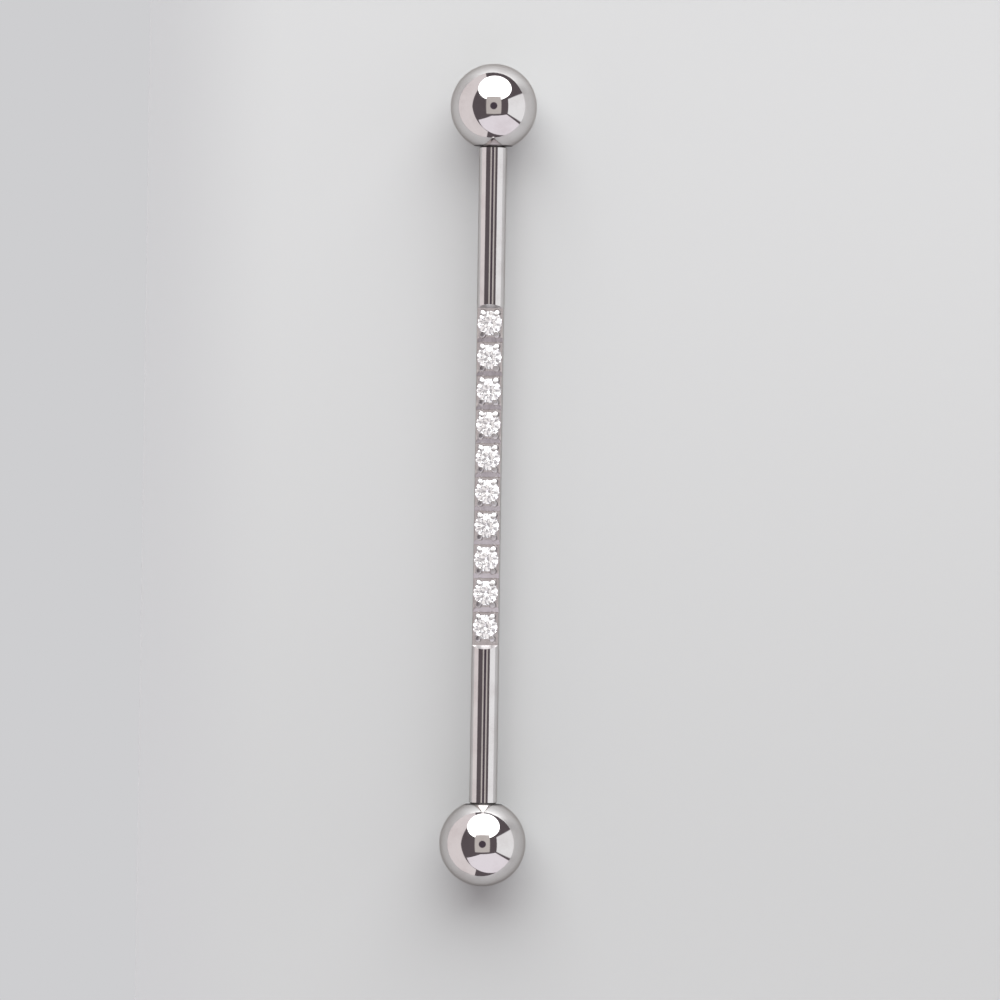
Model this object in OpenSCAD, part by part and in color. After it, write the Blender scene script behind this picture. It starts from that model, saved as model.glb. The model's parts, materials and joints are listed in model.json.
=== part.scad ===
// Industrial barbell: a straight bar with a ball screwed onto each end and a row of round
// stones set in a milled flat along its middle. It lies along X with the stones upwards,
// and rests on its two balls. Sizes are in millimetres.

/* [Bar] */
// Diameter of the bar
bar_d = 1.6; // [1.5:0.05:1.8]
// Length of the bar between the flats of the balls
bar_l = 38; // [32:1:44]
// Chamfer around the bar's two shoulders
shoulder_chamfer = 0.08; // [0.02:0.01:0.1]
// Diameter of the screw post at each end of the bar
post_d = 1.2; // [1.1:0.05:1.25]
// Length of each screw post
post_l = 2.8; // [2:0.1:3.2]

/* [Balls] */
// Diameter of each ball
ball_d = 5; // [4:0.5:6]
// Diameter of the machined flat around the hole of each ball
ball_flat_d = 2.14; // [1.8:0.02:2.4]
// Radial gap between a post and its hole
hole_gap = 0.05; // [0.03:0.01:0.1]
// Gap between a ball's flat and the bar's shoulder
shoulder_gap = 0.03; // [0.02:0.01:0.05]

/* [Stone flat] */
// Height of the milled floor above the bar's axis
floor_h = 0.3; // [0.2:0.05:0.35]
// Length of each end ramp, from the floor up to the top of the bar
ramp_run = 0.22; // [0.15:0.01:0.5]
// Distance from the first stone's centre to the top of the left ramp
left_margin = 1.28; // [1.25:0.01:1.8]
// Distance from the last stone's centre to the top of the right ramp
right_margin = 1.09; // [1.09:0.01:1.8]
// Radius of the rounded groove between two stones
groove_r = 0.2; // [0.15:0.01:0.25]
// How much slimmer the milled middle is than the plain ends, on the diameter
middle_relief = 0.02; // [0.01:0.01:0.04]
// How much slimmer still the milled middle is at its waist, on the diameter
middle_waist = 0.02; // [0.01:0.01:0.03]

/* [Stones] */
// Number of stones
stone_n = 10; // [2:1:10]
// Diameter of each stone
stone_d = 1.4; // [1.2:0.05:1.4]
// Distance between the centres of two stones
stone_pitch = 1.95; // [1.95:0.01:2.1]
// Height of the underside of a stone's girdle above the bar's axis
girdle_h = 0.345; // [0.345:0.005:0.36]
// Thickness of the girdle
girdle_t = 0.04; // [0.02:0.01:0.05]
// Width of the table as a share of the stone's diameter
table_share = 0.57; // [0.53:0.01:0.6]
// Angle of the crown's main facets
crown_angle = 34.5; // [32:0.5:36]
// Angle of the pavilion's main facets
pavilion_angle = 41; // [39:0.5:42]
// Angle by which each stone is turned from the one before it
stone_turn = 17; // [0:1:45]

/* [Prongs] */
// Diameter of a prong
prong_d = 0.3; // [0.24:0.02:0.32]
// Distance of a prong from its stone's centre along the bar
prong_x = 0.67; // [0.62:0.01:0.68]
// Distance of a prong from the middle of the bar across it
prong_y = 0.4; // [0.36:0.01:0.42]
// Height of a prong's top above the bar's axis
prong_h = 0.6; // [0.56:0.01:0.64]
// Clearance between a stone and its seat and prongs
seat_gap = 0.025; // [0.02:0.005:0.03]

/* [Hidden] */
$fn = 96;
bar_r = bar_d / 2;
ball_r = ball_d / 2;
ball_flat_x = sqrt(ball_r ^ 2 - (ball_flat_d / 2) ^ 2);
ball_x = bar_l / 2 + shoulder_gap + ball_flat_x;
hole_spare = 0.4;
hole_l = post_l + hole_spare;
hole_r = post_d / 2 + hole_gap;
hole_chamfer = 0.08;
post_chamfer = 0.15;
over_cut = 1;
cut_w = 2 * bar_d;
axis_h = ball_r;
row_l = (stone_n - 1) * stone_pitch;
middle_l = row_l + left_margin + right_margin;
middle_x = (right_margin - left_margin) / 2;
ramp_slope = ramp_run / (bar_r - floor_h);
cut_h = 2 * bar_r;
prong_foot_h = 0.05;
prong_top_r = 0.34;
prong_top_in = 0.12;

// The stone's facets, as radii and heights above the bar's axis
stone_r = stone_d / 2;
crown_h = girdle_h + girdle_t;
table_r = stone_r * table_share;
table_h = crown_h + (stone_r - table_r) * tan(crown_angle);
star_r = (stone_r + table_r * cos(22.5)) / (2 * cos(22.5));
star_h = crown_h + (stone_r - star_r * cos(22.5)) * tan(crown_angle);
keel_share = 0.23;
keel_r = stone_r * keel_share;
keel_h = girdle_h - (stone_r - keel_r * cos(22.5)) * tan(pavilion_angle);
culet_h = girdle_h - stone_r * tan(pavilion_angle);
seat_shift = seat_gap / cos(pavilion_angle);

function stone_name(i) = str("stone_", i < 10 ? "0" : "", i);
function stone_x(i) = (i - 1) * stone_pitch - row_l / 2;
function at(radius, step, height) =
    [radius * cos(22.5 * step), radius * sin(22.5 * step), height];

// A round brilliant: table, 8 star, 8 bezel and 16 upper facets above the girdle,
// and 16 lower and 8 main facets below it
module brilliant() {
    table = [for (k = [0:7]) at(table_r, 2 * k, table_h)];
    star = [for (k = [0:7]) at(star_r, 2 * k + 1, star_h)];
    upper = [for (k = [0:15]) at(stone_r, k, crown_h)];
    lower = [for (k = [0:15]) at(stone_r, k, girdle_h)];
    keel = [for (k = [0:7]) at(keel_r, 2 * k + 1, keel_h)];
    points = concat(table, star, upper, lower, keel, [[0, 0, culet_h]]);
    // Where each ring's points begin in that list
    star_at = len(table);
    upper_at = star_at + len(star);
    lower_at = upper_at + len(upper);
    keel_at = lower_at + len(lower);
    culet = keel_at + len(keel);
    faces = concat(
        [[for (k = [7:-1:0]) k]],
        [for (k = [0:7]) [k, (k + 1) % 8, star_at + k]],
        [for (k = [0:7]) [k, star_at + k, upper_at + 2 * k]],
        [for (k = [0:7]) [(k + 1) % 8, upper_at + (2 * k + 2) % 16, star_at + k]],
        [for (k = [0:7]) [star_at + k, upper_at + 2 * k + 1, upper_at + 2 * k]],
        [for (k = [0:7]) [star_at + k, upper_at + (2 * k + 2) % 16, upper_at + 2 * k + 1]],
        [for (k = [0:15])
            [upper_at + k, upper_at + (k + 1) % 16, lower_at + (k + 1) % 16, lower_at + k]],
        [for (k = [0:7]) [keel_at + k, lower_at + 2 * k, lower_at + 2 * k + 1]],
        [for (k = [0:7]) [keel_at + k, lower_at + 2 * k + 1, lower_at + (2 * k + 2) % 16]],
        [for (k = [0:7]) [culet, lower_at + 2 * k, keel_at + k]],
        [for (k = [0:7]) [culet, keel_at + k, lower_at + (2 * k + 2) % 16]]
    );
    polyhedron(points, faces);
}

module stone(i) {
    color("aliceblue")
        translate([stone_x(i), 0, axis_h])
            rotate([0, 0, stone_turn * i])
                brilliant();
}

// The room that a stone takes in the metal, with its clearance all round
module stone_room() {
    rotate_extrude()
        polygon([
            [0, culet_h - seat_shift],
            [keel_r, keel_h - seat_shift],
            [stone_r, girdle_h - seat_shift],
            [stone_r + seat_gap, girdle_h - seat_shift],
            [stone_r + seat_gap, crown_h + seat_shift],
            [stone_r, crown_h + seat_shift],
            [star_r, star_h + seat_shift],
            [table_r, table_h + seat_shift],
            [0, table_h + seat_shift]
        ]);
}

// A prong whose rounded top slopes away from its stone
module prong() {
    lean = atan2(prong_y, prong_x);
    intersection() {
        translate([prong_x, prong_y, prong_foot_h])
            cylinder(d = prong_d, h = prong_h);
        translate([
            prong_x - prong_top_in * cos(lean),
            prong_y - prong_top_in * sin(lean),
            prong_h - prong_top_r
        ])
            sphere(r = prong_top_r);
    }
}

module four_prongs() {
    prong();
    mirror([1, 0, 0]) prong();
    mirror([0, 1, 0]) prong();
    mirror([1, 0, 0]) mirror([0, 1, 0]) prong();
}

// One plain end of the bar with its shoulder chamfer and screw post, pointing along +X
module shaft_end(from_x) {
    rotate([0, 90, 0])
        rotate_extrude()
            polygon([
                [0, from_x],
                [bar_r, from_x],
                [bar_r, bar_l / 2 - shoulder_chamfer],
                [bar_r - shoulder_chamfer, bar_l / 2],
                [post_d / 2, bar_l / 2],
                [post_d / 2, bar_l / 2 + post_l - post_chamfer],
                [post_d / 2 - post_chamfer, bar_l / 2 + post_l],
                [0, bar_l / 2 + post_l]
            ]);
}

// The milled space above the floor, with a ramp at each end
module flat_space() {
    left_x = middle_x - middle_l / 2;
    right_x = middle_x + middle_l / 2;
    over = (cut_h - bar_r) * ramp_slope;
    rotate([90, 0, 0])
        linear_extrude(height = cut_w, center = true)
            polygon([
                [left_x + ramp_run, floor_h],
                [right_x - ramp_run, floor_h],
                [right_x + over, cut_h],
                [left_x - over, cut_h]
            ]);
}

module grooves() {
    for (i = [1:stone_n - 1])
        translate([stone_x(i) + stone_pitch / 2, 0, floor_h])
            rotate([90, 0, 0])
                cylinder(r = groove_r, h = cut_w, center = true);
}

// The milled middle, polished a little slimmer than the plain ends and faintly waisted
module middle_rod() {
    end_r = (bar_d - middle_relief) / 2;
    waist_r = end_r - middle_waist / 2;
    translate([middle_x, 0, 0])
        rotate([0, 90, 0])
            rotate_extrude()
                polygon([
                    [0, -middle_l / 2],
                    [end_r, -middle_l / 2],
                    [waist_r, 0],
                    [end_r, middle_l / 2],
                    [0, middle_l / 2]
                ]);
}

module rod() {
    middle_rod();
    shaft_end(middle_x + middle_l / 2);
    mirror([1, 0, 0]) shaft_end(middle_l / 2 - middle_x);
}

module bar() {
    color("silver")
        translate([0, 0, axis_h])
            difference() {
                union() {
                    difference() {
                        rod();
                        flat_space();
                        grooves();
                    }
                    for (i = [1:stone_n])
                        translate([stone_x(i), 0, 0]) four_prongs();
                }
                for (i = [1:stone_n])
                    translate([stone_x(i), 0, 0]) stone_room();
            }
}

// A ball for the +X end, with its flat and hole facing the bar
module ball() {
    color("gainsboro")
        translate([ball_x, 0, axis_h])
            difference() {
                sphere(r = ball_r);
                translate([-ball_flat_x, 0, 0])
                    rotate([0, 90, 0])
                        ball_cuts();
            }
}

// What is cut from a ball: its flat, hole and countersink, from the flat's middle along +Z
module ball_cuts() {
    translate([0, 0, -ball_r])
        cylinder(r = ball_r, h = ball_r);
    translate([0, 0, -over_cut])
        cylinder(r = hole_r, h = hole_l + over_cut);
    cylinder(r1 = hole_r + hole_chamfer, r2 = hole_r, h = hole_chamfer);
}

module ball_left() {
    mirror([1, 0, 0]) ball();
}

module ball_right() {
    ball();
}

bar();
ball_left();
ball_right();
for (i = [1:stone_n])
    stone(i);
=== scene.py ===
import json
import math

import bmesh
import bpy
from mathutils import Matrix, Vector


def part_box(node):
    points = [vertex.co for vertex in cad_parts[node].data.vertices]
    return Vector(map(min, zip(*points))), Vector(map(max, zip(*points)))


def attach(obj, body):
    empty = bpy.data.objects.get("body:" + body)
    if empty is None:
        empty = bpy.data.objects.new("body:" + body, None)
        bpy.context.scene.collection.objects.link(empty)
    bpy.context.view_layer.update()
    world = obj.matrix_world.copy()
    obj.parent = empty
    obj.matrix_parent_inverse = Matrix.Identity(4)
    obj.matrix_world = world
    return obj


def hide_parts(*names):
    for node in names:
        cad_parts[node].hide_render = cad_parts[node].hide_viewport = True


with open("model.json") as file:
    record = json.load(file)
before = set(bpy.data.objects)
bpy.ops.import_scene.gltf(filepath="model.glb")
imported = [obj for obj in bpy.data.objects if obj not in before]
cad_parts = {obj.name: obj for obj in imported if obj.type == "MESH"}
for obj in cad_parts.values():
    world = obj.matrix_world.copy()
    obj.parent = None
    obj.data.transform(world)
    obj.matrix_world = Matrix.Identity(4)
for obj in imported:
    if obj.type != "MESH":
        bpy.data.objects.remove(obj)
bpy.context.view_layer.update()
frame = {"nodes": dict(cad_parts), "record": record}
scene = bpy.context.scene
mm = 0.001

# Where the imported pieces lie
ballLow, ballHigh = (Vector(corner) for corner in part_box("ball_right"))
ballRadius = (ballHigh.z - ballLow.z) / 2
axisHeight = ballLow.z + ballRadius
ballMiddle = ballHigh.x - ballRadius  # along the bar, from the middle of the whole
shaft = next(mount for mount in frame["record"]["mounts"] if mount["name"] == "shaft_right")
barRadius = shaft["dims"]["r_mm"] * mm
barEnd = Vector(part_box("bar")[1]).x
stoneNames = sorted(name for name in frame["nodes"] if name.startswith("stone_"))
stoneBoxes = [[Vector(corner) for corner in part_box(name)] for name in stoneNames]
stonePlaces = [(low.x + high.x) / 2 for low, high in stoneBoxes]
stonePitch = (stonePlaces[-1] - stonePlaces[0]) / (len(stonePlaces) - 1)
tableHeight = stoneBoxes[0][1].z - axisHeight  # heights of a stone are taken from the bar's axis
culetHeight = stoneBoxes[0][0].z - axisHeight
print("frame loaded:", len(frame["nodes"]), "nodes,", len(stoneNames), "stones")


# A node's output, written in sums as a plain number is
class Wire:
    def __init__(self, graph, socket):
        self.graph = graph
        self.socket = socket

    def __add__(self, other):
        return self.graph.maths("ADD", self, other)

    def __radd__(self, other):
        return self.graph.maths("ADD", other, self)

    def __sub__(self, other):
        return self.graph.maths("SUBTRACT", self, other)

    def __rsub__(self, other):
        return self.graph.maths("SUBTRACT", other, self)

    def __mul__(self, other):
        return self.graph.maths("MULTIPLY", self, other)

    def __rmul__(self, other):
        return self.graph.maths("MULTIPLY", other, self)

    def __truediv__(self, other):
        return self.graph.maths("DIVIDE", self, other)

    def __neg__(self):
        return self.graph.maths("MULTIPLY", self, -1)

    def __abs__(self):
        return self.graph.maths("ABSOLUTE", self)

    def __gt__(self, other):
        return self.graph.maths("GREATER_THAN", self, other)

    def __lt__(self, other):
        return self.graph.maths("LESS_THAN", self, other)


# A node tree that is filled from its inputs to its output
class Graph:
    def __init__(self, tree):
        self.tree = tree
        tree.nodes.clear()

    # One node: its settings first, then what its inputs hold or are fed
    def add(self, kind, settings=None, inputs=None, output=0):
        node = self.tree.nodes.new(kind)
        for name, value in (settings or {}).items():
            setattr(node, name, value)
        for name, value in (inputs or {}).items():
            socket = self.pick(node.inputs, name)
            if isinstance(value, Wire):
                self.tree.links.new(value.socket, socket)
            else:
                socket.default_value = value
        return Wire(self, self.pick(node.outputs, output)) if len(node.outputs) else node

    def pick(self, sockets, name):
        if isinstance(name, int):
            return sockets[name]
        return next(socket for socket in sockets if socket.enabled and socket.name == name)

    def maths(self, operation, *values):
        return self.add("ShaderNodeMath", {"operation": operation}, dict(enumerate(values)))

    def limited(self, value):
        return self.add("ShaderNodeClamp", {}, {"Value": value})

    # 0 where value is below start, 1 where it is above end, smooth between them
    def step(self, value, start, end):
        return self.add(
            "ShaderNodeMapRange",
            {"interpolation_type": "SMOOTHSTEP"},
            {"Value": value, "From Min": start, "From Max": end},
        )

    def mix(self, factor, first, second):
        return self.add(
            "ShaderNodeMix",
            {"data_type": "RGBA"},
            {"Factor": factor, "A": first, "B": second},
            "Result",
        )

    def noise(self, place, scale, detail, roughness=0.5):
        return self.add(
            "ShaderNodeTexNoise",
            {},
            {"Vector": place, "Scale": scale, "Detail": detail, "Roughness": roughness},
            "Fac",
        )


def newMaterial(name):
    material = bpy.data.materials.new(name)
    material.use_nodes = True
    graph = Graph(material.node_tree)
    return material, graph, graph.add("ShaderNodeTexCoord", output="Object")


def finishMaterial(graph, values):
    surface = graph.add("ShaderNodeBsdfPrincipled", {}, values)
    graph.add("ShaderNodeOutputMaterial", {}, {"Surface": surface})


# Meshes: how close two corners are to be one, and how sharp an edge is to stay crisp
meshing = {
    "weld": 0.0003 * mm,
    "sliver": 0.0001 * mm,
    "sharpAngle": math.radians(28),
}


# Faces between rings that lie next to each other, where a ring may be a single tip
def bridge(shell, rings, sides):
    for one, two in zip(rings, rings[1:]):
        for k in range(sides):
            corners = (one[k % len(one)], one[(k + 1) % len(one)])
            corners += (two[(k + 1) % len(two)], two[k % len(two)])
            shell.faces.new(dict.fromkeys(corners))


# A profile of places along X and their radii, turned about X
def turnedRings(shell, profile, sides):
    rings = []
    for x, radius in profile:
        if radius == 0:
            rings.append([shell.verts.new((x, 0, 0))])
            continue
        turns = (math.tau * k / sides for k in range(sides))
        spots = ((x, radius * math.cos(turn), radius * math.sin(turn)) for turn in turns)
        rings.append([shell.verts.new(spot) for spot in spots])
    bridge(shell, rings, sides)


# One flat face drawn out into a solid
def drawnOut(shell, face, way):
    swept = bmesh.ops.extrude_face_region(shell, geom=[face])["geom"]
    far = [part for part in swept if isinstance(part, bmesh.types.BMVert)]
    bmesh.ops.translate(shell, vec=way, verts=far)
    bmesh.ops.recalc_face_normals(shell, faces=shell.faces)


# Turns a shape made about X so that it stands about Z
def standUp(shell):
    bmesh.ops.rotate(shell, verts=shell.verts, matrix=Matrix.Rotation(-math.pi / 2, 3, "Y"))


def closeShell(shell):
    bmesh.ops.remove_doubles(shell, verts=shell.verts, dist=meshing["weld"])
    bmesh.ops.dissolve_degenerate(shell, edges=shell.edges, dist=meshing["sliver"])
    bmesh.ops.recalc_face_normals(shell, faces=shell.faces)


def meshFrom(shell, name):
    mesh = bpy.data.meshes.new(name)
    shell.to_mesh(mesh)
    shell.free()
    return mesh


def objectFrom(mesh, name):
    piece = bpy.data.objects.new(name, mesh)
    scene.collection.objects.link(piece)
    return piece


def smooth(mesh):
    mesh.polygons.foreach_set("use_smooth", [True] * len(mesh.polygons))
    mesh.set_sharp_from_angle(angle=meshing["sharpAngle"])


# The object's shape with its modifiers, as a plain mesh
def settled(piece):
    bpy.context.view_layer.update()
    graph = bpy.context.evaluated_depsgraph_get()
    mesh = bpy.data.meshes.new_from_object(piece.evaluated_get(graph), depsgraph=graph)
    piece.modifiers.clear()
    piece.data = mesh
    return piece


# View: the camera stands above the bar, a little to the side that the photo shows on the right
view = {
    "pixels": 1000,
    "pixelsPerMm": 17.29,
    "middlePixel": (488.1, 475.1),  # the point midway between the two balls
    "barLean": math.radians(0.887),  # the bar's upper end leans to the right
    "sideTilt": math.radians(5),  # how far from upright the camera stands
    "distance": 350 * mm,
    "sensor": 36,
    "clip": (10 * mm, 50),
}


def makeCamera():
    back = Vector((0, -math.sin(view["sideTilt"]), math.cos(view["sideTilt"])))
    along = Vector((1, 0, 0))
    across = along.cross(back)
    lean = view["barLean"]
    right = along * math.sin(lean) + across * math.cos(lean)
    up = along * math.cos(lean) - across * math.sin(lean)
    half = view["pixels"] / 2
    perPixel = mm / view["pixelsPerMm"]
    middle = Vector((0, 0, axisHeight))
    middle += right * (half - view["middlePixel"][0]) * perPixel
    middle -= up * (half - view["middlePixel"][1]) * perPixel
    data = bpy.data.cameras.new("camera")
    data.sensor_width = view["sensor"]
    frameWidth = view["pixels"] * perPixel
    data.lens = view["sensor"] * view["distance"] / frameWidth
    data.clip_start, data.clip_end = view["clip"]
    camera = bpy.data.objects.new("camera", data)
    turned = Matrix((right, up, back)).transposed().to_4x4()
    camera.matrix_world = Matrix.Translation(middle + back * view["distance"]) @ turned
    scene.collection.objects.link(camera)
    scene.camera = camera
    return right, up, back


viewRight, viewUp, viewBack = makeCamera()
print("camera placed")

# Studio: panels of a light tent, told by their direction from the bar
# Each slope is what one direction is to another, such as height to reach along the bar
studio = {
    "soft": 0.03,
    "leastRun": 0.001,  # keeps a slope from a division by nothing
    "dark": (0.14, 0.117, 0.128),
    "octabox": {"light": (4.2, 4.22, 4.26), "middle": (0.1, 1.95), "radii": (1.32, 1.92)},
    "leftWall": {
        "light": (0.97, 0.9, 0.91),
        "low": -4.2,
        "high": 4.2,
        "top": 0.59,
        "rise": 0.15,  # the top edge rises away from the middle
    },
    "nearWall": {
        "light": (1.08, 1.02, 1.09),
        "right": 1.5,
        "top": 2.0,
        "leftTop": 2.2,  # the top edge falls away to the left
        "topFall": 1.08,
        "edge": 0.344,  # the left edge leans
        "edgeLean": 1.82,
        "gapEnd": 0.05,  # a dark gap under the left part
        "gapSlope": 0.83,
    },
    "rightWall": {"light": (1.12, 1.12, 1.14), "low": -0.55, "high": 0.48, "top": 1.22},
    "ceiling": {"light": (0.72, 0.67, 0.65), "side": 0.37, "low": -0.40, "high": 0.476},
    "lens": {"light": (0.09, 0.07, 0.09), "inside": 0.1503, "outside": 0.1837},
    "seen": (0.617, 0.617, 0.631),
}


def makeStudio():
    world = bpy.data.worlds.new("studio")
    scene.world = world
    world.use_nodes = True
    graph = Graph(world.node_tree)
    direction = graph.add("ShaderNodeTexCoord", output="Generated")

    def reach(axis):
        settings = {"operation": "DOT_PRODUCT"}
        return graph.add("ShaderNodeVectorMath", settings, {0: direction, 1: axis}, "Value")

    lat, up, height = reach(viewRight), reach(viewUp), reach(viewBack)
    soft = studio["soft"]

    def above(value, edge):
        return graph.step(value - edge, -soft, soft)

    def below(value, edge):
        return graph.step(edge - value, -soft, soft)

    def slope(rise, run):
        return rise / graph.maths("MAXIMUM", run, studio["leastRun"])

    colour = (*studio["dark"], 1)
    wall = studio["leftWall"]
    lean = slope(up, -lat)
    left = above(lean, wall["low"]) * below(lean, wall["high"]) * (lat < 0)
    left = left * below(slope(height, -lat), wall["top"] + abs(lean) * wall["rise"])
    colour = graph.mix(left, colour, (*wall["light"], 1))
    wall = studio["nearWall"]
    lean, rise = slope(lat, -up), slope(height, -up)
    top = graph.maths("MINIMUM", wall["leftTop"] + lean * wall["topFall"], wall["top"])
    near = below(rise, top) * below(lean, wall["right"]) * (up < 0)
    near = near * above(lean + rise * wall["edgeLean"], wall["edge"])
    gap = (wall["gapEnd"] - lean) * wall["gapSlope"]
    near = near * graph.maths("MAXIMUM", above(rise, gap), lean > wall["gapEnd"])
    colour = graph.mix(near, colour, (*wall["light"], 1))
    wall = studio["rightWall"]
    lean = slope(up, lat)
    right = above(lean, wall["low"]) * below(lean, wall["high"]) * (lat > 0)
    right = right * below(slope(height, lat), wall["top"])
    colour = graph.mix(right, colour, (*wall["light"], 1))
    box = studio["octabox"]
    sideways = (slope(lat, up) - box["middle"][0]) / box["radii"][0]
    upwards = (slope(height, up) - box["middle"][1]) / box["radii"][1]
    octabox = below(sideways * sideways + upwards * upwards, 1.0) * (up > 0)
    colour = graph.mix(octabox, colour, (*box["light"], 1))
    patch = studio["ceiling"]
    sideways, lengthways = slope(lat, height), slope(up, height)
    ceiling = below(abs(sideways), patch["side"]) * (height > 0)
    ceiling = ceiling * above(lengthways, patch["low"]) * below(lengthways, patch["high"])
    colour = graph.mix(ceiling, colour, (*patch["light"], 1))
    lens = studio["lens"]
    out = graph.maths("SQRT", sideways * sideways + lengthways * lengthways)
    inLens = graph.step(out, lens["outside"], lens["inside"]) * (height > 0)
    colour = graph.mix(inLens, colour, (*lens["light"], 1))
    # The camera itself sees a plain backdrop past the card
    toCamera = graph.add("ShaderNodeLightPath", output="Is Camera Ray")
    colour = graph.mix(toCamera, colour, (*studio["seen"], 1))
    background = graph.add("ShaderNodeBackground", {}, {"Color": colour})
    graph.add("ShaderNodeOutputWorld", {}, {"Surface": background})


makeStudio()
scene.view_settings.view_transform = "Standard"
print("studio lit")

# Floor: a sheet of pale satin card, whose left edge shows in the view. Its colour carries painted
# light and shade: lighter towards the top of the view, darker towards the bottom and towards its
# left edge
card = {
    "ends": (-62 * mm, 43 * mm),
    "sides": (-30 * mm, 20.5 * mm),
    "thickness": 1.5 * mm,
    "cornerRadius": 3 * mm,
    "cornerSteps": 12,
    "colour": (0.521, 0.531, 0.527),
    "paintedLightFar": 1.03,  # painted light: the card is painted a little lighter towards the top of the view, and darker towards the bottom as painted shade
    "paintedShadeNear": 0.9,
    "fadeReach": 30 * mm,
    # painted shade: over this span the card darkens towards its left edge, standing in for a
    # rounded edge that falls away from the light
    "paintedEdgeShade": (0.455, 0.462, 0.465),
    "paintedEdgeShadeSpan": (12 * mm, 20.5 * mm),
    "roughness": 0.36,
    "grain": 4000,
    "grainDetail": 3,
    "grainDepth": 0.004 * mm,
    "grainStrength": 0.3,
}


def cardMaterial():
    material, graph, place = newMaterial("card")
    along = graph.add("ShaderNodeSeparateXYZ", {}, {"Vector": place}, "X")
    across = graph.add("ShaderNodeSeparateXYZ", {}, {"Vector": place}, "Y")
    reach = card["fadeReach"]
    # painted light and shade: the colour runs from darker at the near end to lighter at the far end
    paintedFalloff = graph.step(along, -reach, reach)
    far = tuple(c * card["paintedLightFar"] for c in card["colour"])
    near = tuple(c * card["paintedShadeNear"] for c in card["colour"])
    colour = graph.mix(paintedFalloff, (*near, 1), (*far, 1))
    # painted shade: the colour darkens towards the card's left edge
    colour = graph.mix(graph.step(across, *card["paintedEdgeShadeSpan"]), colour, (*card["paintedEdgeShade"], 1))
    grain = graph.noise(place, card["grain"], card["grainDetail"])
    relief = {"Strength": card["grainStrength"], "Distance": card["grainDepth"]}
    bump = graph.add("ShaderNodeBump", {}, {"Height": grain} | relief)
    finishMaterial(
        graph, {"Base Color": colour, "Roughness": card["roughness"], "Normal": bump}
    )
    return material


def makeFloor():
    sheet = bmesh.new()
    (startX, endX), (startY, endY) = card["ends"], card["sides"]
    radius = card["cornerRadius"]
    corners = (
        (endX - radius, endY - radius),
        (startX + radius, endY - radius),
        (startX + radius, startY + radius),
        (endX - radius, startY + radius),
    )
    steps = card["cornerSteps"]
    rim = []
    for quarter, (x, y) in enumerate(corners):
        for k in range(steps + 1):
            turn = (quarter + k / steps) * math.pi / 2
            spot = (x + radius * math.cos(turn), y + radius * math.sin(turn), 0)
            rim.append(sheet.verts.new(spot))
    drawnOut(sheet, sheet.faces.new(rim), (0, 0, -card["thickness"]))
    mesh = meshFrom(sheet, "floor")
    mesh.materials.append(cardMaterial())
    floor = objectFrom(mesh, "floor")


makeFloor()
print("floor laid")

# Steel: mirror-polished, with the faint orange peel and hairlines that a polishing wheel leaves
steelLook = {
    "colour": (0.66, 0.645, 0.64),
    "stainShare": (0.91, 0.892, 0.89),
    "edgeTint": (0.62, 0.59, 0.575),  # steel reflects less at a grazing angle
    "roughness": (0.035, 0.075),
    "patch": {"scale": 700, "detail": 4, "roughness": 0.6},
    "peel": {"scale": 900, "detail": 2, "roughness": 0.4},
    "peelDepth": 0.0006 * mm,
    "hairline": {"scale": 5200, "detail": 2, "roughness": 0.7},
    "hairlineStretch": 0.04,
    "hairlineDepth": 0.0002 * mm,
    "stained": (0.4, 0.75),  # from where on a patch is stained, and from where wholly
    "lineShare": 0.6,  # how much of the roughness follows the hairlines, the rest the patches
    "rough": (0.35, 0.7),  # from where on the steel is rough, and from where wholly
}

# What each finish of the steel has instead of the values above
finishes = {
    "polishedSteel": {},
    "drawnSteel": {"roughness": (0.06, 0.12), "hairlineDepth": 0.0006 * mm},
    # painted shade: this finish is painted dark for the shade in the gap between a ball's flat and
    # the bar; its roughness is that of a turned face
    "turnedSteelPaintedShade": {
        "roughness": (0.3, 0.36),
        "hairlineDepth": 0.0006 * mm,
        "colour": (0.3, 0.29, 0.29),
        "edgeTint": (0.3, 0.29, 0.29),
    },
    "milledSteel": {
        "roughness": (0.14, 0.22),
        "hairlineDepth": 0.0012 * mm,
        "colour": (0.8, 0.78, 0.785),
    },
    "rampSteel": {"roughness": (0.44, 0.5), "colour": (0.68, 0.67, 0.67)},
    "prongSteel": {
        "roughness": (0.23, 0.31),
        "hairlineDepth": 0.0004 * mm,
        "colour": (0.62, 0.615, 0.615),
    },
    "seatSteel": {
        "roughness": (0.12, 0.2),
        "hairlineDepth": 0.0006 * mm,
        "colour": (0.8, 0.795, 0.8),
    },
}


def steelMaterial(name):
    look = steelLook | finishes[name]
    material, graph, place = newMaterial(name)
    stain = tuple(c * share for c, share in zip(look["colour"], look["stainShare"]))
    stretch = {"Vector": place, "Scale": (look["hairlineStretch"], 1, 1)}
    drawn = graph.add("ShaderNodeMapping", {}, stretch)
    patch = graph.noise(place, **look["patch"])
    lines = graph.noise(drawn, **look["hairline"])
    peel = graph.noise(place, **look["peel"])
    base = graph.mix(graph.step(patch, *look["stained"]), (*look["colour"], 1), (*stain, 1))
    low, high = look["roughness"]
    uneven = lines * look["lineShare"] + patch * (1 - look["lineShare"])
    wavy = graph.add("ShaderNodeBump", {}, {"Height": peel, "Distance": look["peelDepth"]})
    scratch = {"Height": lines, "Distance": look["hairlineDepth"], "Normal": wavy}
    finishMaterial(
        graph,
        {
            "Base Color": base,
            "Metallic": 1.0,
            "Roughness": low + (high - low) * graph.step(uneven, *look["rough"]),
            "Specular Tint": (*look["edgeTint"], 1),
            "Normal": graph.add("ShaderNodeBump", {}, scratch),
        },
    )
    return material


steels = {name: steelMaterial(name) for name in finishes}
print("steel mixed")


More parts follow.
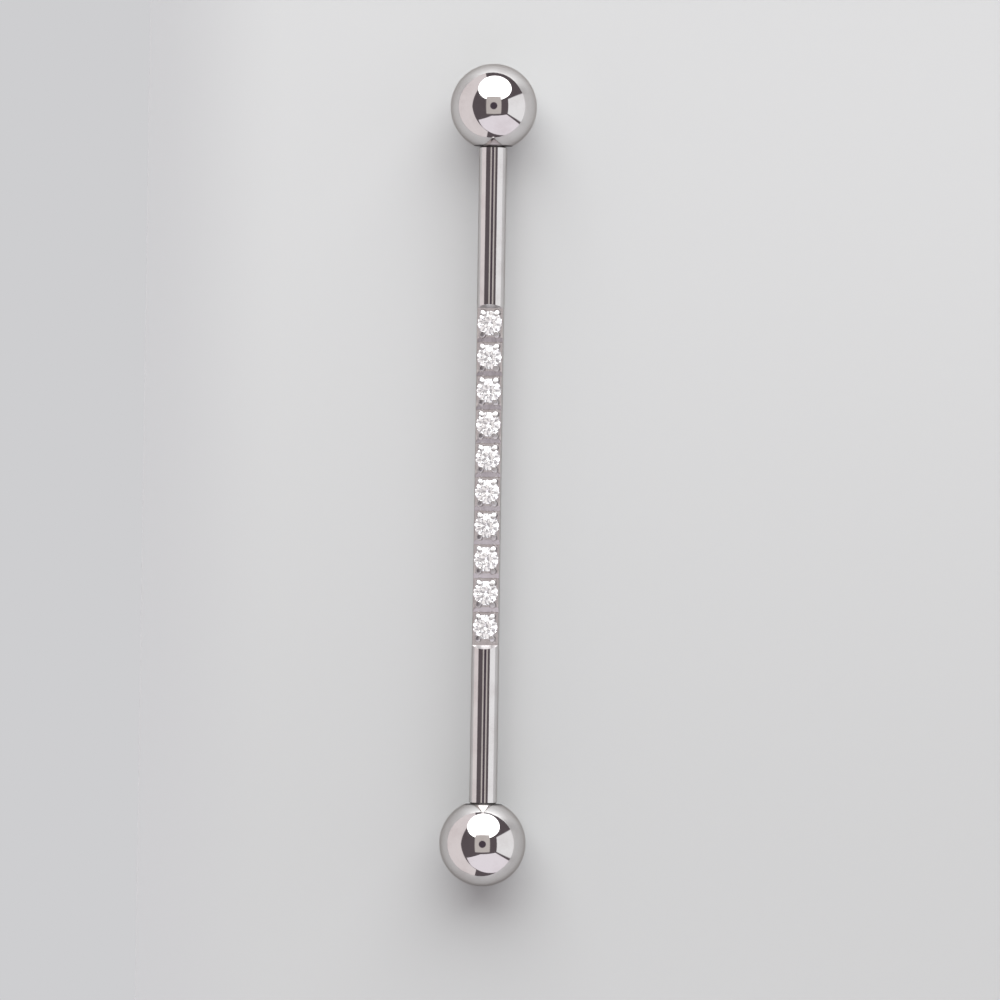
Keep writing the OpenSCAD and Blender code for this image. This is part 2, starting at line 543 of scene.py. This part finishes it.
# Runs a geometry tree on an empty object, and returns what it makes as a plain mesh
def grown(tree, values, name):
    host = objectFrom(bpy.data.meshes.new(name), name)
    modifier = host.modifiers.new(name, "NODES")
    modifier.node_group = tree
    for item in tree.interface.items_tree:
        if item.item_type == "SOCKET" and item.in_out == "INPUT" and item.name in values:
            modifier[item.identifier] = values[item.name]
    mesh = settled(host).data
    bpy.data.objects.remove(host)
    return mesh


def newTree(name, sockets):
    tree = bpy.data.node_groups.new(name, "GeometryNodeTree")
    for socketName, kind in sockets.items():
        tree.interface.new_socket(name=socketName, in_out="INPUT", socket_type="NodeSocket" + kind)
    tree.interface.new_socket(name="Geometry", in_out="OUTPUT", socket_type="NodeSocketGeometry")
    graph = Graph(tree)
    source = tree.nodes.new("NodeGroupInput")
    given = {socketName: Wire(graph, source.outputs[socketName]) for socketName in sockets}
    return tree, graph, given


def finishTree(graph, geometry, material):
    real = graph.add("GeometryNodeRealizeInstances", {}, {"Geometry": geometry})
    dressed = graph.add("GeometryNodeSetMaterial", {}, {"Geometry": real, "Material": material})
    graph.add("NodeGroupOutput", {}, {"Geometry": dressed})


# A wall with a screw thread: a grid rolled up about X, its radius falling and rising with each turn
def threadTree():
    sizes = {"Length": "Float", "Radius": "Float", "Depth": "Float", "Pitch": "Float"}
    counts = {"Rings": "Int", "Sides": "Int", "Finish": "Material"}
    tree, graph, given = newTree("screwThread", sizes | counts)
    grid = graph.add(
        "GeometryNodeMeshGrid",
        {},
        {"Size X": 1.0, "Size Y": 1.0, "Vertices X": given["Rings"], "Vertices Y": given["Sides"]},
        "Mesh",
    )
    place = graph.add("GeometryNodeInputPosition")
    across = graph.add("ShaderNodeSeparateXYZ", {}, {"Vector": place}, "X")
    turn = graph.add("ShaderNodeSeparateXYZ", {}, {"Vector": place}, "Y")
    along = (across + 0.5) * given["Length"]
    tooth = graph.maths("PINGPONG", along / given["Pitch"] - turn, 0.5) * 2
    runOut = graph.limited((0.5 - abs(across)) * given["Length"] / given["Pitch"])
    radius = given["Radius"] - given["Depth"] * tooth * runOut
    angle = turn * math.tau
    rolled = graph.add(
        "ShaderNodeCombineXYZ",
        {},
        {
            "X": along,
            "Y": radius * graph.maths("COSINE", angle),
            "Z": radius * graph.maths("SINE", angle),
        },
    )
    wall = graph.add("GeometryNodeSetPosition", {}, {"Geometry": grid, "Position": rolled})
    seamless = graph.add(
        "GeometryNodeMergeByDistance", {}, {"Geometry": wall, "Distance": meshing["weld"]}
    )
    finishTree(graph, seamless, given["Finish"])
    return tree


# One piece repeated along the row of stones
def rowTree():
    sizes = {"Piece": "Object", "Count": "Int", "Pitch": "Float", "Start": "Vector"}
    tree, graph, given = newTree("stoneRow", sizes | {"Finish": "Material"})
    offset = graph.add("ShaderNodeCombineXYZ", {}, {"X": given["Pitch"]})
    line = graph.add(
        "GeometryNodeMeshLine",
        {},
        {"Count": given["Count"], "Start Location": given["Start"], "Offset": offset},
    )
    piece = graph.add("GeometryNodeObjectInfo", {}, {"Object": given["Piece"]}, "Geometry")
    row = graph.add("GeometryNodeInstanceOnPoints", {}, {"Points": line, "Instance": piece})
    finishTree(graph, row, given["Finish"])
    return tree


threadMaker = threadTree()
rowMaker = rowTree()

# Thread of the posts and of the balls' holes
thread = {
    "pitch": 0.25 * mm,
    "depth": 0.07 * mm,
    "ringsPerTurn": 8,
    "sides": 144,
}


def threadWall(length, radius):
    values = {
        "Length": length,
        "Radius": radius,
        "Depth": thread["depth"],
        "Pitch": thread["pitch"],
        "Rings": round(length / thread["pitch"] * thread["ringsPerTurn"]) + 1,
        "Sides": thread["sides"] + 1,
        "Finish": steels["polishedSteel"],
    }
    return grown(threadMaker, values, "threadWall")


# Balls: a sphere with a machined flat, and a countersunk threaded hole from the flat inwards
ball = {
    "flatRadius": 1.07 * mm,
    "flatInset": 0.1 * mm,  # how far within that radius the rounded rim begins
    "rimCorner": (0.01 * mm, 0.02 * mm),  # how far in from the flat, and how far past its radius
    "turnedBandPaintedShade": 0.07 * mm,  # round the flat the ball is left as turned, and painted darker as shade where it meets the bar
    "holeRadius": 0.65 * mm,
    "holeDepth": 3.2 * mm,
    "countersink": 0.08 * mm,
    "countersinkRim": 0.092 * mm,
    "countersinkCorner": (0.008 * mm, 0.076 * mm),  # in from the flat, and past the hole's radius
    "blindWall": 0.3 * mm,  # the plain stretch past the thread
    "rings": 84,
}


def makeBall(name, side):
    flatRadius, holeRadius = ball["flatRadius"], ball["holeRadius"]
    flatPlace = -math.sqrt(ballRadius ** 2 - flatRadius ** 2)
    bandAngle = math.asin(flatRadius / ballRadius) + ball["turnedBandPaintedShade"] / ballRadius
    bandStart = -ballRadius * math.cos(bandAngle)
    shell = bmesh.new()
    turns = ((math.pi - bandAngle) * k / ball["rings"] for k in range(ball["rings"] + 1))
    outside = [(ballRadius * math.cos(t), ballRadius * math.sin(t)) for t in turns]
    outside[0] = (ballRadius, 0)
    threadStart = flatPlace + ball["countersink"]
    holeEnd = flatPlace + ball["holeDepth"]
    threadEnd = holeEnd - ball["blindWall"]
    rimIn, rimPast = ball["rimCorner"]
    sinkIn, sinkPast = ball["countersinkCorner"]
    outside += [
        (flatPlace + rimIn, flatRadius + rimPast),
        (flatPlace, flatRadius - ball["flatInset"]),
        (flatPlace, holeRadius + ball["countersinkRim"]),
        (flatPlace + sinkIn, holeRadius + sinkPast),
        (threadStart, holeRadius),
    ]
    turnedRings(shell, outside, thread["sides"])
    inside = [(threadEnd, holeRadius), (holeEnd, holeRadius), (holeEnd, 0)]
    turnedRings(shell, inside, thread["sides"])
    wall = threadWall(threadEnd - threadStart, holeRadius)
    wall.transform(Matrix.Translation((threadStart, 0, 0)))
    shell.from_mesh(wall)
    closeShell(shell)
    # the flat and the band round it take the turned steel, painted dark as shade
    for face in shell.faces:
        middle = face.calc_center_median()
        pastHole = math.hypot(middle.y, middle.z) - holeRadius
        isTurnedPaintedShade = middle.x < bandStart and pastHole > ball["countersink"]
        face.material_index = 1 if isTurnedPaintedShade else 0
    mesh = meshFrom(shell, name)
    mesh.transform(Matrix.Translation((ballMiddle, 0, axisHeight)))
    if side < 0:
        mesh.transform(Matrix.Scale(-1, 4, (1, 0, 0)))
        mesh.flip_normals()
    smooth(mesh)
    mesh.materials.append(steels["polishedSteel"])
    mesh.materials.append(steels["turnedSteelPaintedShade"])
    return objectFrom(mesh, name)


for ballName, ballNode, ballSide in (
    ("leftBall", "ball_left", -1),
    ("rightBall", "ball_right", 1),
):
    dressedBall = makeBall(ballName, ballSide)
    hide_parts(ballNode)
    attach(dressedBall, ballNode)
    print(ballName, "made:", len(dressedBall.data.polygons), "faces")

# Bar: plain round ends, the milled flat between two steep ramps, and a screw post at each end
bar = {
    "length": 38 * mm,
    "shoulderChamfer": 0.08 * mm,
    "postRadius": 0.6 * mm,
    "postChamfer": 0.15 * mm,
    "middleRadius": 0.79 * mm,
    "waistRadius": 0.78 * mm,
    "floorHeight": 0.3 * mm,
    "rampRun": 0.22 * mm,
    "leftMargin": 1.28 * mm,
    "rightMargin": 1.09 * mm,
    "ringStep": 0.4 * mm,
}
flatStart = stonePlaces[0] - bar["leftMargin"]
flatEnd = stonePlaces[-1] + bar["rightMargin"]

# Notch between two stones: a gentle slope, and a steep wall before the next stone's prongs
notch = {
    "start": 0.19 * mm,
    "deepest": -0.13 * mm,
    "end": -0.155 * mm,
    "depth": 0.08 * mm,
}


def barShell():
    shell = bmesh.new()
    edge = bar["length"] / 2 - bar["shoulderChamfer"]
    waist = (flatStart + flatEnd) / 2
    profile = []
    for start, end, first, last in (
        (-edge, flatStart, barRadius, barRadius),
        (flatStart, waist, bar["middleRadius"], bar["waistRadius"]),
        (waist, flatEnd, bar["waistRadius"], bar["middleRadius"]),
        (flatEnd, edge, barRadius, barRadius),
    ):
        count = math.ceil((end - start) / bar["ringStep"])
        shares = [k / count for k in range(count + 1)]
        profile += [(start + (end - start) * k, first + (last - first) * k) for k in shares]
    turnedRings(shell, profile, thread["sides"])
    return shell


def addPost(shell, side):
    shoulder = bar["length"] / 2
    chamfer = bar["shoulderChamfer"]
    threadStart = shoulder + thread["pitch"]
    threadEnd = barEnd - bar["postChamfer"]
    near = [
        (shoulder - chamfer, barRadius),
        (shoulder, barRadius - chamfer),
        (shoulder, bar["postRadius"]),
        (threadStart, bar["postRadius"]),
    ]
    tip = [
        (threadEnd, bar["postRadius"]),
        (barEnd, bar["postRadius"] - bar["postChamfer"]),
        (barEnd, 0),
    ]
    for profile in (near, tip):
        turnedRings(shell, [(side * x, radius) for x, radius in profile], thread["sides"])
    wall = threadWall(threadEnd - threadStart, bar["postRadius"])
    wall.transform(Matrix.Translation((threadStart, 0, 0)))
    wall.transform(Matrix.Scale(side, 4, (1, 0, 0)))
    shell.from_mesh(wall)


# The space that is milled away above the floor, as a solid across the bar
def milledShell():
    floorHeight, top = bar["floorHeight"], 2 * barRadius
    floorStart, floorEnd = flatStart + bar["rampRun"], flatEnd - bar["rampRun"]
    over = (top - barRadius) * bar["rampRun"] / (barRadius - floorHeight)
    outline = [(flatStart - over, top), (floorStart, floorHeight)]
    for before, after in zip(stonePlaces, stonePlaces[1:]):
        middle = (before + after) / 2
        outline += [
            (middle + notch["end"], floorHeight),
            (middle + notch["deepest"], floorHeight - notch["depth"]),
            (middle + notch["start"], floorHeight),
        ]
    outline += [(floorEnd, floorHeight), (flatEnd + over, top)]
    shell = bmesh.new()
    face = shell.faces.new([shell.verts.new((x, -top, z)) for x, z in outline])
    drawnOut(shell, face, (0, 2 * top, 0))
    for wall in shell.faces:
        isFloor = floorStart < wall.calc_center_median().x < floorEnd
        wall.material_index = 0 if isFloor else 1
    return shell


# Prongs: four round beads around each stone, their tops falling away from it
prong = {
    "radius": 0.15 * mm,
    "along": {-1: 0.69 * mm, 1: 0.61 * mm},  # a little further out on the photo's lower side
    "across": 0.42 * mm,
    "inward": 0.6,  # how much further it reaches towards its stone, as a share
    "foot": 0.05 * mm,
    "top": 0.598 * mm,
    "domeRadius": 1.5 * mm,
    "domeShift": 0.37 * mm,
    "rim": 0.035 * mm,
    "sides": 32,
    "rings": 9,
}
prongPlaces = [
    Vector((side * along, across))
    for side, along in prong["along"].items()
    for across in (-prong["across"], prong["across"])
]


def prongShell():
    shell = bmesh.new()
    domeBase = prong["top"] - prong["domeRadius"]
    for middle in prongPlaces:
        shift = prong["domeShift"] * middle.normalized()
        rings = []
        for ring in range(prong["rings"] + 1):
            reach = prong["radius"] * math.sin(math.pi / 2 * ring / prong["rings"])
            inRim = max(0, reach - prong["radius"] + prong["rim"])
            drop = prong["rim"] - math.sqrt(prong["rim"] ** 2 - inRim ** 2)
            spots = []
            for k in range(prong["sides"] if ring else 1):
                turn = math.tau * k / prong["sides"]
                spot = Vector((math.cos(turn), math.sin(turn)))
                towards = max(0, -spot.dot(middle) / middle.length)
                spot *= reach * (1 + prong["inward"] * towards ** 2)
                out = (spot + shift).length
                height = domeBase + math.sqrt(prong["domeRadius"] ** 2 - out ** 2) - drop
                spots.append(shell.verts.new((*(middle + spot), height)))
            rings.append(spots)
        rings.append([shell.verts.new((*spot.co.xy, prong["foot"])) for spot in rings[-1]])
        bridge(shell, rings, prong["sides"])
        shell.faces.new(rings[-1])
    bmesh.ops.recalc_face_normals(shell, faces=shell.faces)
    return shell


# Pits: the cutter that raises the prongs leaves a shallow one around each
pit = {
    "radius": 0.22 * mm,  # at the floor
    "bottomRadius": 0.18 * mm,
    "depth": 0.035 * mm,
    "cutter": 1.5,  # how tall the cone is that cuts the pit, in depths
    "sides": 32,
}


def pitShell():
    shell = bmesh.new()
    slope = (pit["radius"] - pit["bottomRadius"]) / pit["depth"]
    bottom = bar["floorHeight"] - pit["depth"]
    height = pit["depth"] * pit["cutter"]
    profile = [
        (bottom, 0),
        (bottom, pit["bottomRadius"]),
        (bottom + height, pit["bottomRadius"] + slope * height),
        (bottom + height, 0),
    ]
    for place in prongPlaces:
        cone = bmesh.new()
        turnedRings(cone, profile, pit["sides"])
        standUp(cone)
        bmesh.ops.translate(cone, vec=place.to_3d(), verts=cone.verts)
        shell.from_mesh(meshFrom(cone, "pit"))
    bmesh.ops.recalc_face_normals(shell, faces=shell.faces)
    return shell


# Seats: the room that a stone takes in the metal
seat = {
    "stoneRadius": 0.7 * mm,
    "gap": 0.025 * mm,
    "crownAngle": math.radians(34.5),
    "pavilionAngle": math.radians(41),
    "tableShare": 0.57,
    "sides": 64,
}


def seatShell():
    radius, gap = seat["stoneRadius"], seat["gap"]
    shift = gap / math.cos(seat["pavilionAngle"])
    tableRadius = radius * seat["tableShare"]
    crown = tableHeight - (radius - tableRadius) * math.tan(seat["crownAngle"])
    girdle = culetHeight + radius * math.tan(seat["pavilionAngle"])
    profile = [
        (culetHeight - shift, 0),
        (girdle - shift, radius),
        (girdle - shift, radius + gap),
        (crown + shift, radius + gap),
        (crown + shift, radius),
        (tableHeight + shift, tableRadius),
        (tableHeight + shift, 0),
    ]
    shell = bmesh.new()
    turnedRings(shell, profile, seat["sides"])
    standUp(shell)
    bmesh.ops.recalc_face_normals(shell, faces=shell.faces)
    return shell


# A shape made for one stone, repeated for all of them
def inRow(shell, name, material):
    cell = objectFrom(meshFrom(shell, name), name)
    values = {
        "Piece": cell,
        "Count": len(stonePlaces),
        "Pitch": stonePitch,
        "Start": (stonePlaces[0], 0, 0),
        "Finish": material,
    }
    row = objectFrom(grown(rowMaker, values, name + "Row"), name + "Row")
    bpy.data.objects.remove(cell)
    return row


def combine(piece, other, operation):
    modifier = piece.modifiers.new(operation, "BOOLEAN")
    modifier.operation = operation
    modifier.solver = "EXACT"
    modifier.material_mode = "TRANSFER"
    modifier.object = other
    settled(piece)
    bpy.data.objects.remove(other)


def makeBar():
    shell = barShell()
    addPost(shell, -1)
    addPost(shell, 1)
    closeShell(shell)
    mesh = meshFrom(shell, "barSteel")
    mesh.materials.clear()  # this also puts the threads' faces on the first material
    mesh.materials.append(steels["drawnSteel"])
    piece = objectFrom(mesh, "barSteel")
    milled = objectFrom(meshFrom(milledShell(), "milled"), "milled")
    milled.data.materials.append(steels["milledSteel"])
    milled.data.materials.append(steels["rampSteel"])
    combine(piece, milled, "DIFFERENCE")
    combine(piece, inRow(pitShell(), "pits", steels["milledSteel"]), "DIFFERENCE")
    combine(piece, inRow(seatShell(), "seats", steels["seatSteel"]), "DIFFERENCE")
    prongs = inRow(prongShell(), "prongs", steels["prongSteel"])
    combine(prongs, inRow(seatShell(), "seats", steels["prongSteel"]), "DIFFERENCE")
    combine(piece, prongs, "UNION")
    piece.data.transform(Matrix.Translation((0, 0, axisHeight)))
    smooth(piece.data)
    return piece


barSteel = makeBar()
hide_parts("bar")
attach(barSteel, "bar")
print("bar made:", len(barSteel.data.polygons), "faces")

# Stones: clear, hard and colourless, with crisp facets
stoneLook = {
    "colour": (0.985, 0.99, 1.0),
    "index": 2.16,
    "haze": 0.04,
    "hazeScale": 3000,
    "hazeDetail": 2,
    "clearness": 1.0,
    "glow": 0.055,  # stands in for the light that its many small facets gather
}


def stoneMaterial():
    look = stoneLook
    material, graph, place = newMaterial("clearStone")
    haze = graph.noise(place, look["hazeScale"], look["hazeDetail"]) * look["haze"]
    finishMaterial(
        graph,
        {
            "Base Color": (*look["colour"], 1),
            "Roughness": haze,
            "IOR": look["index"],
            "Transmission Weight": look["clearness"],
            "Emission Color": (*look["colour"], 1),
            "Emission Strength": look["glow"],
        },
    )
    return material


clearStone = stoneMaterial()
for name in stoneNames:
    stone = frame["nodes"][name]
    for part in stone.material_slots:
        part.material = clearStone
print("stones set")
